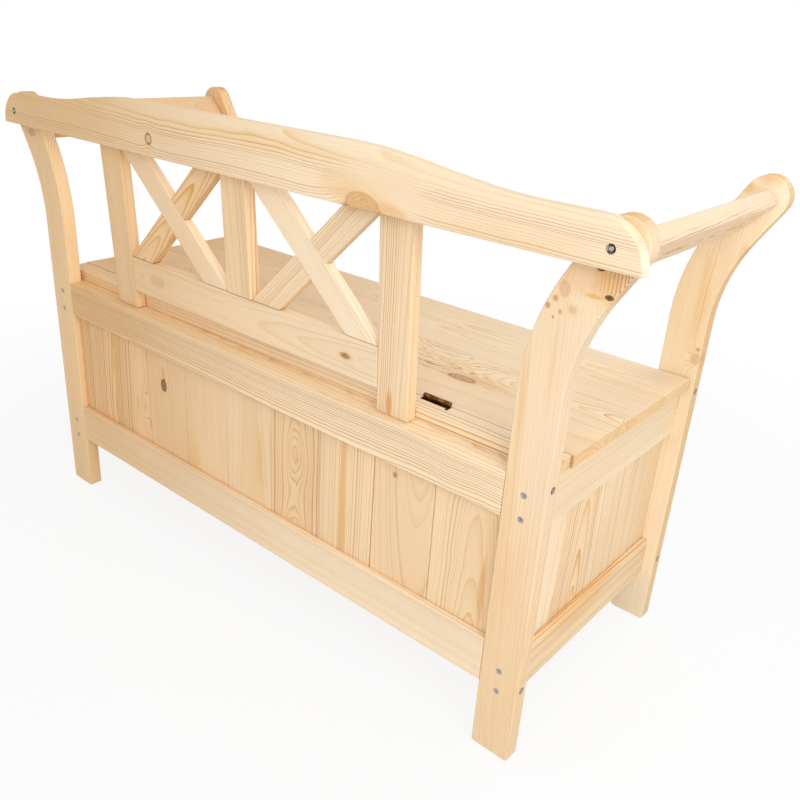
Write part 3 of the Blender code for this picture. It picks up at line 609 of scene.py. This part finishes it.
# %% The other posts
far_knots = (Knot((0.566, POST_REAR, 0.700), 0.006, 0.010, dark=0.5, rim=0.3),)
pine(Board("post_rear_right", Z, Y), pith=0.080, depth=0.04, spacing=0.0038, contrast=0.55,
     tint=(1.03, 1.05, 1.08), knots=far_knots, screws=post_holes(1, "rear"))
POST_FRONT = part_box("post_front_left")[1].y
front_knots = (
    Knot((-0.5430, POST_FRONT, 0.4880), 0.0085, 0.0065, dark=0.50, rim=0.20,
         core=shade(218, 164, 110), push=0.014, line=shade(160, 100, 60), count=2.5),
    Knot((-0.5440, POST_FRONT, 0.5030), 0.0030, 0.0030, dark=0.60, rim=0.40,
         core=shade(190, 130, 84), line=RUST),
)
front_patches = (
    Patch((-0.533, POST_FRONT, 0.5700), (0.090, 0.012, 1), 0.40, RESIN),
    Patch((-0.577, POST_FRONT, 0.6500), (0.030, 0.008, 1), 0.40, AMBER),
    Patch((-0.560, POST_FRONT, 0.7470), (0.010, 0.024, 1), 0.50, AMBER),
    Patch((-0.540, POST_FRONT, 0.6000), (0.080, 0.014, 1), 0.4),
    Patch((-0.590, POST_FRONT, 0.7500), (0.040, 0.050, 1), -0.85),
    Patch((-0.590, POST_FRONT, 0.7720), (0.020, 0.034, 1), 0.60, shade(232, 178, 116)),
    Patch((-0.598, POST_FRONT, 0.7900), (0.006, 0.022, 1), 0.70, shade(190, 122, 70)),
)
# A deep orange painted shade darkens the outer face, which looks to the near end
pine(Board("post_front_left", Z, Y), pith=0.060, drift=0.06, spacing=0.0030, contrast=0.25,
     tint=(0.99, 1.03, 1.06), facing_shade=(-X, (0.86, 0.72, 0.54, 1.0)), knots=front_knots,
     patches=front_patches, screws=post_holes(-1, "front"), ripple=0.0016)
pine(Board("post_front_right", Z, Y), pith=0.06, depth=0.035, drift=0.03, spacing=0.0036,
     contrast=0.5, screws=post_holes(1, "front"))
print("rear faces of the posts at", round(POST_REAR, 4), "and", round(POST_FRONT, 4))

# %% [markdown]
# ## The panels
# Narrow boards from different logs stand side by side, so each has a pattern of its own. From
# the near end: waves, a small knot over a flame, straight lines with an orange band, closed
# ovals, and then paler boards. A soft dark line of painted shade, with some dirt in the joint,
# follows both edges of each board.

# %% Boards of the rear panel
PANEL_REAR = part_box("rear_panel_board_1")[1].y
ovals = (swell((-0.115, PANEL_REAR, 0.306), 0.026, 0.013, -0.017),
         swell((-0.110, PANEL_REAR, 0.165), 0.026, 0.013, -0.014))
rear_panel = (
    dict(pith=0.020, drift=0.10, spacing=0.0044, sway=0.018, contrast=0.55, ripple=0.0040, choppy=0.7,
         patches=(Patch((-0.470, PANEL_REAR, 0.24), (0.060, 0.007, 1), 0.50, AMBER),), seam=0.55),
    dict(pith=0.030, depth=0.040, drift=-0.10, spacing=0.0060, sway=0.010, contrast=0.32, seam=0.30,
         knots=(Knot((-0.3105, PANEL_REAR, 0.3541), 0.0040, 0.0034, dark=0.9, rim=0.35),)),
    dict(pith=0.120, depth=0.020, drift=0.01, spacing=0.0044, sway=0.005, contrast=0.62, seam=0.65,
         patches=(Patch((-0.2135, PANEL_REAR, 0.28), (0.40, 0.0082, 1), 0.80, shade(234, 186, 124)),)),
    dict(depth=0.034, spacing=0.0050, sway=0.008, contrast=0.72, ripple=0.0012, knots=ovals, seam=0.35,
         patches=(Patch((-0.115, PANEL_REAR, 0.300), (0.018, 0.008, 1), 0.40, shade(236, 190, 150)),)),
    dict(pith=0.010, depth=0.055, drift=0.05, spacing=0.0070, sway=0.014, contrast=0.15, streaks=0.35,
         patches=(Patch((-0.030, PANEL_REAR, 0.27), (0.050, 0.006, 1), 0.40, RESIN),), seam=0.15),
    dict(pith=-0.020, depth=0.060, drift=0.04, spacing=0.0070, sway=0.016, contrast=0.14,
         streaks=0.35, seam=0.15),
    dict(pith=-0.050, drift=0.03, spacing=0.0056, sway=0.010, contrast=0.30, warm=0.97, seam=0.22,
         knots=(Knot((0.2243, PANEL_REAR, 0.3129), 0.0120, 0.0066, core=shade(128, 86, 56)),),
         patches=(Patch((0.2243, PANEL_REAR, 0.3350), (0.020, 0.005, 1), 0.55, AMBER),)),
    dict(pith=0.030, drift=0.04, spacing=0.0046, sway=0.010, contrast=1.5, ripple=0.0040, choppy=0.8,
         knots=(swell((0.290, PANEL_REAR, 0.25), 0.020, 0.008, 0.010),), seam=0.30),
    dict(pith=0.060, depth=0.014, drift=0.05, spacing=0.0046, sway=0.014, contrast=2.0,
         ripple=0.0050, choppy=0.9, seam=0.30),
)
NEAR_TINT, FAR_TINT, NEAR_BOARDS = (0.98, 0.915, 0.83), (0.99, 0.95, 0.90), 4
for index, look in enumerate(rear_panel):
    warm = look.pop("warm", 1.0 - 0.02 * (index % 2))
    base = NEAR_TINT if index < NEAR_BOARDS else FAR_TINT
    tint = tuple(share * warm ** (power + 1) for power, share in enumerate(base))
    pine(Board(f"rear_panel_board_{index + 1}", Z, Y), tint=tint, **look)
print("rear panel boards:", len(rear_panel))


# %% The other upright boards and the floor
def varied(name):
    """A pattern drawn by lot from the board's own name, the same on each run."""
    luck = random.Random(name)
    return dict(pith=luck.uniform(-0.04, 0.04), depth=luck.uniform(0.018, 0.05),
                drift=luck.uniform(0.02, 0.09), spacing=luck.uniform(0.0036, 0.006),
                sway=luck.uniform(0.006, 0.014), contrast=luck.uniform(0.38, 0.66))


side_boards = (
    dict(pith=0.05, drift=0.03, spacing=0.0050, contrast=0.30, tint=(1.01, 1.00, 0.99)),
    dict(pith=0.012, depth=0.022, drift=0.06, spacing=0.0046, contrast=1.0, tint=(0.97, 0.90, 0.80),
         streaks=0.3),
    dict(pith=-0.06, spacing=0.0042, contrast=0.60, tint=(1.01, 1.00, 0.98)),
    dict(pith=0.09, spacing=0.0036, contrast=0.70, tint=(0.96, 0.90, 0.82)),
)
for index, look in enumerate(side_boards):
    for hand, side in HANDS:
        pine(Board(f"{hand}_panel_board_{4 - index}", Z, side * X), seam=0.7, **look)
wide_look = dict(pith=0.02, depth=0.04, spacing=0.005, sway=0.02, contrast=0.5)
pine(Board("front_panel", Z, -Y), drift=0.07, **wide_look)
pine(Board("floor", Y, Z), drift=0.05, **wide_look)
for name in ("floor_batten_rear", "floor_batten_front"):
    pine(Board(name, X, Z), **varied(name))
print("side boards:", 2 * len(side_boards))

# %% [markdown]
# ## Seat
# The four lid boards and the strip behind them look up. The third board from the front waves
# strongly, a pinkish knot sits on the seam next to it, and the last board is plain and pale. The
# same knot is handed to both boards, so its two halves meet at the seam.

# %% Lid, strip and ledges
LID_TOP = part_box("lid_board_1")[1].z
seam_knot = Knot((-0.304, 0.0560, LID_TOP), 0.0235, 0.0085, dark=0.85, rim=0.60,
                 core=shade(222, 176, 140), line=shade(124, 74, 46), rings=1.0, count=3.5, soft=0.11)
pine(Board("lid_board_4", X, Z), pith=-0.012, depth=0.06, spacing=0.0085, sway=0.012, contrast=0.34,
     tint=(0.98, 0.95, 0.92), knots=(seam_knot,), seam=0.6, seed="plain")
wavy = (Patch((-0.25, 0.03, LID_TOP), (0.16, 0.05, 1), 0.7),
        Patch((-0.34, 0.04, LID_TOP), (0.05, 0.02, 1), 0.35, RESIN))
arches = (swell((-0.29, 0.010, LID_TOP), 0.050, 0.020, 0.016),
          swell((-0.20, 0.000, LID_TOP), 0.040, 0.018, 0.014))
pine(Board("lid_board_3", X, Z), pith=0.004, depth=0.026, drift=0.045, spacing=0.0036, sway=0.026,
     contrast=0.80, knots=(seam_knot, *arches), patches=wavy, ripple=0.0110, choppy=0.5, seam=0.6)
pine(Board("lid_board_2", X, Z), pith=0.03, spacing=0.0050, contrast=0.42, ripple=0.0030, seam=0.5)
pine(Board("lid_board_1", X, Z), pith=-0.02, depth=0.035, drift=0.025, spacing=0.0048, contrast=0.36,
     ripple=0.0030, seam=0.5)
pine(Board("hinge_strip", X, Z), pith=0.060, depth=0.075, drift=0.006, spacing=0.0032, contrast=0.50,
     streaks=-0.2, tint=(1.02, 1.03, 1.04),
     patches=(Patch((-0.43, 0.165, LID_TOP), (0.22, 0.05, 1), 1.3),))
for name in ("hinge_board", "front_ledge", "lid_batten_left", "lid_batten_middle", "lid_batten_right"):
    pine(Board(name, Y if "batten" in name else X, Z), **varied(name))
print("top of the lid at", round(LID_TOP, 4))

# %% [markdown]
# ## Back
# The slats lean with the back. Each cross has one pale diagonal that passes behind the other's
# lap and one darker diagonal with strong lines. Where they disappear behind the top rail or meet
# the bottom board, a thin line of painted shadow marks the joint.

# %% Slats, bottom board and braces
SLAT_THICK, SLAT_REAR, BRACE_WIDTH = 0.019, 0.190, 0.04
foot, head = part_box("back_slat_middle")
LEAN = Vector((0, head.y - foot.y - SLAT_THICK, head.z - foot.z)).normalized()
RAIL_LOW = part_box("top_back_rail")[0].z
BACK_BOARD_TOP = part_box("back_bottom_board")[1].z
slat_look = dict(depth=0.026, drift=0.028, spacing=0.0036, sway=0.007)
flame = (Patch((-0.290, SLAT_REAR, 0.455), (0.026, 0.007, 1), 0.75, AMBER),
         Patch((-0.262, SLAT_REAR, 0.560), (0.120, 0.004, 1), 0.5, RESIN))
pine(Board("back_slat_left", LEAN, Y), pith=0.040, contrast=0.90, streaks=0.2,
     tint=(0.950, 0.902, 0.838), patches=flame, contact=(RAIL_LOW,), **slat_look)
pine(Board("back_slat_middle", LEAN, Y), pith=-0.030, contrast=0.80, streaks=0.3,
     tint=(0.975, 0.930, 0.860), contact=(RAIL_LOW, BACK_BOARD_TOP), **slat_look)
pine(Board("back_slat_right", LEAN, Y), pith=0.050, contrast=0.60, tint=(0.975, 0.950, 0.910),
     contact=(RAIL_LOW,), **slat_look)
bottom_knots = (
    Knot((-0.208, SLAT_REAR, 0.5005), 0.0090, 0.0042, dark=1.0, rim=0.40, core=shade(180, 116, 60)),
    Knot((0.224, SLAT_REAR, 0.5020), 0.016, 0.0080, dark=0.45, rim=0.08, core=shade(222, 178, 134)),
)
pine(Board("back_bottom_board", X, Y), depth=0.018, drift=0.05, spacing=0.0075, sway=0.022,
     contrast=0.32, tint=(0.99, 0.97, 0.95), knots=bottom_knots, ripple=0.0020)


def diagonal(node, sign):
    """Grain direction of a brace from the corners of its box."""
    low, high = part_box(node)
    return Vector((sign * (high.x - low.x - BRACE_WIDTH), 0, high.z - low.z))


brace_contact = (RAIL_LOW, BACK_BOARD_TOP)
falling_looks = {"left": dict(pith=0.07, contrast=0.65, tint=(1.0, 0.98, 0.95)),
                 "right": dict(pith=0.01, contrast=1.60, tint=(0.97, 0.90, 0.80))}
for bay, falling_look in falling_looks.items():
    rising, falling = f"brace_{bay}_rising", f"brace_{bay}_falling"
    pine(Board(rising, diagonal(rising, 1), Y), pith=0.06, spacing=0.0045, contrast=0.24,
         tint=(1.03, 1.05, 1.10), contact=brace_contact)
    pine(Board(falling, diagonal(falling, -1), Y), depth=0.02, spacing=0.0036,
         contact=brace_contact, **falling_look)
print("back leans by", round(math.degrees(math.atan2(LEAN.y, LEAN.z)), 1), "degrees")

# %% Armrests
for hand, side in HANDS:
    arm = Board(f"armrest_{hand}", Y, Vector((-side, 0, 1)))
    under = Patch(arm.middle - 0.015 * arm.face, (0.30, 0.060, 0.012), 7.0)
    # A painted shade dims the narrow face that looks up and outward, where the lamp strikes hardest
    inner = Vector((side, 0, 1)).normalized()
    pine(arm, pith=0.004, depth=0.034, drift=0.03, spacing=0.0030, contrast=0.22,
         tint=(0.975, 0.945, 0.940), facing_shade=(inner, (0.94, 0.93, 0.96, 1.0)), patches=(under,),
         ripple=0.0036)
print("boards finished:", len([m for m in bpy.data.materials if m.name.startswith("pine_")]))

# %% [markdown]
# ## Planed edges
# No edge of planed pine is razor sharp: each is rounded a little, and the round catches light.
# A Bevel modifier takes it off every board, and where two boards meet it leaves a fine groove.
# A Weld goes first, because a bevel needs faces that share their corners.

# %% Rounded edges
WELD_DISTANCE, SHARP_ANGLE = 0.00001, math.radians(40)
LOOSE_EDGE, FRAME_EDGE = 0.0011, 0.0008
for name, node in nodes.items():
    if "_leaf_" in name or "screw" in name:
        continue
    weld = node.modifiers.new("weld", "WELD")
    weld.merge_threshold = WELD_DISTANCE
    rounded = node.modifiers.new("rounded", "BEVEL")
    rounded.width = LOOSE_EDGE if "_board_" in name else FRAME_EDGE
    rounded.segments = 2
    rounded.limit_method = "ANGLE"
    rounded.angle_limit = SHARP_ANGLE
print("boards with rounded edges:", len([n for n in nodes.values() if n.modifiers]))

# %% [markdown]
# ## Metal
# The hinges are brass that has gone brown in the hollows and stays bright where it is rubbed.
# The screws are zinc plated: pale grey with fine turning marks; inside the recess a near-black
# metal is painted shade, and a dark brass is the painted shadow under each hinge knuckle. One
# function makes all four, because they differ only in colours and in the size of the marks.


# %% Brass and zinc
def metal(name, bright, dull, threshold, waves):
    """Plated metal whose colour and roughness wander between a bright and a dull state."""
    finish = Finish(name)
    coordinates = finish.object_place()
    blotch = finish.noise(finish.stretch(coordinates, (waves, waves, waves)), 4.0)
    drawn_out = finish.stretch(coordinates, (waves * 0.5, waves * 9, waves * 9), (7, 7, 7))
    scratch = finish.noise(drawn_out, 2.0)
    rubbed = finish.ease(blotch + (scratch - 0.5) * 0.6, threshold, threshold + 0.25)
    relief = {"Strength": 0.25, "Distance": 0.0001, "Height": scratch + blotch * 0.5}
    finish.set(Base_Color=finish.mix(rubbed, dull, bright), Roughness=0.52 - rubbed * 0.2,
               Normal=finish.node("Bump", {}, relief), Metallic=1.0)
    return finish.material


BRASS_WAVES, ZINC_WAVES = 150.0, 700.0
brass = metal("hinge_brass", shade(200, 158, 98), shade(122, 86, 52), 0.42, BRASS_WAVES)
# Dark brass for the strip behind each knuckle: painted shadow under the knuckle, with the notch cut for it
shadow_brass = metal("hinge_dark_brass", shade(84, 58, 36), shade(44, 28, 20), 0.50, BRASS_WAVES)
zinc = metal("screw_zinc", shade(214, 214, 218), shade(136, 138, 142), 0.36, ZINC_WAVES)
# Near-black zinc for the inside of a screw recess: painted shade
recess = metal("screw_recess", shade(52, 50, 52), shade(26, 24, 24), 0.50, ZINC_WAVES)
leaves = [node for name, node in nodes.items() if "_leaf_" in name]
for leaf in leaves:
    coat(leaf, brass)
print("hinge leaves in brass:", len(leaves))


# %% From a loose mesh to a piece
def new_piece(name, shape, *materials):
    """Turn a bmesh into an object of the scene that wears these materials."""
    mesh = bpy.data.meshes.new(name)
    shape.to_mesh(mesh)
    shape.free()
    piece = bpy.data.objects.new(name, mesh)
    bpy.context.collection.objects.link(piece)
    coat(piece, *materials)
    return piece


def join_rings(shape, outer, inner):
    """A closed band of faces between two rings with the same number of corners."""
    band = []
    for index in range(len(outer)):
        after = (index + 1) % len(outer)
        band.append(shape.faces.new((outer[index], outer[after], inner[after], inner[index])))
    return band


print("piece helpers ready")

# %% [markdown]
# ## Painted shadow behind each hinge
# Behind the knuckle the photograph shows a dark band that turns down at one end: the shadow under
# the knuckle and the notch cut for it. A thin dark strip paints it, so a flat outline with a small
# lip is enough, pulled up to its thickness.

# %% Hinge shadow strips
HINGE_X, HINGE_HALF, KNUCKLE_Y = 0.331, 0.023, 0.14855
EDGE_OUT, EDGE_NEAR, EDGE_FAR, EDGE_LIP = 0.0254, 0.0030, 0.0084, 0.0130
LIP_WIDTH, EDGE_THICK, EDGE_LIFT = 0.0026, 0.0009, 0.0001
edge_outline = ((-EDGE_OUT, EDGE_NEAR), (HINGE_HALF, EDGE_NEAR), (HINGE_HALF, EDGE_FAR),
                (LIP_WIDTH - EDGE_OUT, EDGE_FAR), (LIP_WIDTH - EDGE_OUT, EDGE_LIP), (-EDGE_OUT, EDGE_LIP))
for hand, side in HANDS:
    shape = bmesh.new()
    low_ring = [shape.verts.new((side * (HINGE_X - x), KNUCKLE_Y + y, LID_TOP + EDGE_LIFT))
                for x, y in edge_outline]
    top_ring = [shape.verts.new(corner.co + EDGE_THICK * Z) for corner in low_ring]
    join_rings(shape, low_ring, top_ring)
    shape.faces.new(top_ring)
    shape.faces.new(reversed(low_ring))
    bmesh.ops.recalc_face_normals(shape, faces=shape.faces)
    # The strip paints the shadow under the knuckle and the notch cut for it
    edge = new_piece(f"hinge_edge_{hand}", shape, shadow_brass)
    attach(edge, "bench")
print("hinge edges reach", round(2 * EDGE_OUT, 4), "m")

# %% [markdown]
# ## Screw heads
# A countersunk head is a shallow disc with a cross-shaped recess. Every ring of the mesh has the
# same number of corners, and the rings of the recess swell four times round the circle, so one
# loop of faces joins each ring to the next and the cross needs no cutting.

# %% One screw head
CORNERS, ARM_SHARP, ARM_WAIST = 48, 5, 0.38
# Each ring: share of the radius, how far it is a cross, and its height over the face
HEAD_RINGS = ((1.0, 0.0, -0.0006), (1.0, 0.0, -0.0001), (0.95, 0.0, 0.0), (0.74, 0.0, 0.0),
              (0.68, 1.0, -0.0002), (0.62, 1.0, -0.0011), (0.20, 0.6, -0.0016))
RECESS_FROM = 4


def head_ring(radius, cross):
    """Corners of a ring; cross, from 0 to 1, turns the circle into a four-armed recess."""
    ring = []
    for index in range(CORNERS):
        angle = 2 * math.pi * index / CORNERS
        arms = abs(math.cos(2 * angle)) ** ARM_SHARP
        reach = radius * (1 - cross + cross * (ARM_WAIST + (1 - ARM_WAIST) * arms))
        ring.append((reach * math.cos(angle), reach * math.sin(angle)))
    return ring


def screw_head(name, place, outward, turn, body, radius, replaced=None):
    """A screw head with its face at place, turned by an angle round its own axis. The heads that
    replace CAD screws have bright recess walls, as in the photograph."""
    shape = bmesh.new()
    loops = [[shape.verts.new((x, y, lift)) for x, y in head_ring(radius * share, cross)]
             for share, cross, lift in HEAD_RINGS]
    # Painted shade: the recess walls and floor wear the near-black recess metal; heads that replace CAD
    # screws keep zinc walls
    for level, (outer, inner) in enumerate(zip(loops, loops[1:])):
        for wall in join_rings(shape, outer, inner):
            wall.material_index = int(level >= RECESS_FROM and not replaced)
    shape.faces.new(loops[-1]).material_index = 1
    shape.faces.new(reversed(loops[0]))
    bmesh.ops.recalc_face_normals(shape, faces=shape.faces)
    facing = outward.to_track_quat("Z", "Y").to_matrix().to_4x4()
    shape.transform(Matrix.Translation(place) @ facing @ Matrix.Rotation(turn, 4, "Z"))
    piece = new_piece(name, shape, zinc, recess)
    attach(piece, body)
    if replaced:
        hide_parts(replaced)


print("a head has", CORNERS * len(HEAD_RINGS), "corners")

# %% Screws in the posts and in the top rail
PROUD, FLUSH, SUNK = 0.0002, 0.00001, 0.0008
POST_HEAD, SIDE_HEAD, RAIL_HEAD = 0.0038, 0.0030, 0.0027
FRONT_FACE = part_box("post_front_left")[0].y
for hand, side in HANDS:
    for level, z in enumerate(SCREW_HEADS):
        place = Vector((side * POST_SCREW_X, POST_REAR + PROUD, z))
        screw_head(f"post_screw_rear_{hand}_{level + 1}", place, Y, 0.4 + level, "bench", POST_HEAD)
        place = Vector((side * POST_SCREW_X, FRONT_FACE - FLUSH, z))
        screw_head(f"post_screw_front_{hand}_{level + 1}", place, -Y, 1.1 + level, "bench", POST_HEAD)
    for row, y in SIDE_SCREW_ROWS.items():
        for level, z in enumerate(SIDE_SCREW_HEADS):
            place = Vector((side * (LEG_SIDE + PROUD), y, z))
            name = f"side_screw_{row}_{hand}_{level + 1}"
            screw_head(name, place, side * X, 0.7 + level, "bench", SIDE_HEAD)
    place = RAIL_SCREWS[hand] - SUNK * Y
    screw_head(f"rail_screw_{hand}", place, Y, 0.3, "bench", RAIL_HEAD, f"top_rail_screw_{hand}")

# %% [markdown]
# ## Floor and background
# The bench stands on a pale studio floor. The floor glows white only for the camera and in
# mirrors, so it reads as a white background, and it still takes the soft shadow near the bench.

# %% Floor
FLOOR_HALF = 9.0
SHADOW_NEAR, SHADOW_FAR, SHADOW_GLOW = 0.8, 1.8, 0.86
floor_finish = Finish("studio_floor")
kinds = ("Camera", "Glossy", "Transmission")
rays = [floor_finish.node("LightPath", {}, {}, f"Is {kind} Ray") for kind in kinds]
away = floor_finish.length(floor_finish.object_place())
glow = floor_finish.ease(away, SHADOW_NEAR, SHADOW_FAR, SHADOW_GLOW, 1.0)
glow = rays[0].most(rays[1]).most(rays[2]) * glow
floor_finish.set(Base_Color=shade(236, 236, 236), Roughness=0.9)
white = floor_finish.node("Emission", {}, {"Color": (1, 1, 1, 1), "Strength": 1.0})
pale = Socket(floor_finish, floor_finish.shader.outputs[0])
mixed = floor_finish.node("MixShader", {}, {0: glow, 1: pale, 2: white})
floor_finish.feed(floor_finish.tree.nodes["Material Output"].inputs["Surface"], mixed)

floor_shape = bmesh.new()
bmesh.ops.create_grid(floor_shape, x_segments=1, y_segments=1, size=FLOOR_HALF)
floor = new_piece("studio_floor", floor_shape, floor_finish.material)
print("floor:", 2 * FLOOR_HALF, "m wide")

# %% World
SKY_STRENGTH = 0.62
world = bpy.data.worlds.new("studio")
bpy.context.scene.world = world
world.use_nodes = True
sky = world.node_tree.nodes["Background"]
sky.inputs["Color"].default_value = (1, 1, 1, 1)
path = world.node_tree.nodes.new("ShaderNodeLightPath")
level = world.node_tree.nodes.new("ShaderNodeMapRange")
level.inputs["To Min"].default_value = SKY_STRENGTH
level.inputs["To Max"].default_value = 1.0
world.node_tree.links.new(path.outputs["Is Camera Ray"], level.inputs["Value"])
world.node_tree.links.new(level.outputs["Result"], sky.inputs["Strength"])
print("sky strength:", SKY_STRENGTH)

# %% [markdown]
# ## Lamps
# The main lamp is a large square at the near end, which makes the end faces brightest and lets
# the far end fall off. A weaker one fills the back, and one in front of the bench reaches the
# seat. Large lamps give the soft edges of a shadow that studio pictures have.


# %% Three lamps
def lamp(name, place, aim, size, power):
    """A square lamp, size in metres and power in watts, that looks from place to aim."""
    light = bpy.data.lights.new(name, "AREA")
    light.shape = "SQUARE"
    light.size = size
    light.energy = power
    item = bpy.data.objects.new(name, light)
    item.location = place
    item.rotation_euler = (Vector(aim) - Vector(place)).to_track_quat("-Z", "Y").to_euler()
    bpy.context.collection.objects.link(item)


lamp("key_lamp", (-2.2, 1.1, 1.9), (-0.4, 0, 0.40), 1.3, 24)
lamp("back_fill", (-1.2, 1.8, 1.4), (-0.4, 0.1, 0.4), 1.3, 12)
lamp("seat_lamp", (-0.7, -1.1, 2.0), (-0.2, -0.1, 0.45), 1.2, 8)
print("lamps:", len(bpy.data.lights))

# %% [markdown]
# ## Camera
# Its place, its heading and its lens were fitted to the corners of rails, posts and seat. The
# picture is tilted a little, so the right and up directions are turned about the view.

# %% Camera
CAMERA_PLACE = Vector((-0.9431, 0.99465, 0.9320))
HEADING, LOOK_DOWN, ROLL = math.radians(-51.315), math.radians(24.606), math.radians(3.825)
LENS_MM, CLIP_START = 37.79, 0.02
ahead = math.cos(LOOK_DOWN)
forward = Vector((math.cos(HEADING) * ahead, math.sin(HEADING) * ahead, -math.sin(LOOK_DOWN)))
level_right = forward.cross(Z).normalized()
level_up = level_right.cross(forward)
right = math.cos(ROLL) * level_right + math.sin(ROLL) * level_up
up = math.cos(ROLL) * level_up - math.sin(ROLL) * level_right
camera_data = bpy.data.cameras.new("camera")
camera_data.lens = LENS_MM
camera_data.clip_start = CLIP_START
camera = bpy.data.objects.new("camera", camera_data)
turned = Matrix((right, up, -forward)).transposed().to_4x4()
camera.matrix_world = Matrix.Translation(CAMERA_PLACE) @ turned
bpy.context.collection.objects.link(camera)
bpy.context.scene.camera = camera
bpy.context.scene.view_settings.view_transform = "Standard"
print("camera at", [round(v, 3) for v in CAMERA_PLACE])

# %% The end
bpy.context.view_layer.update()
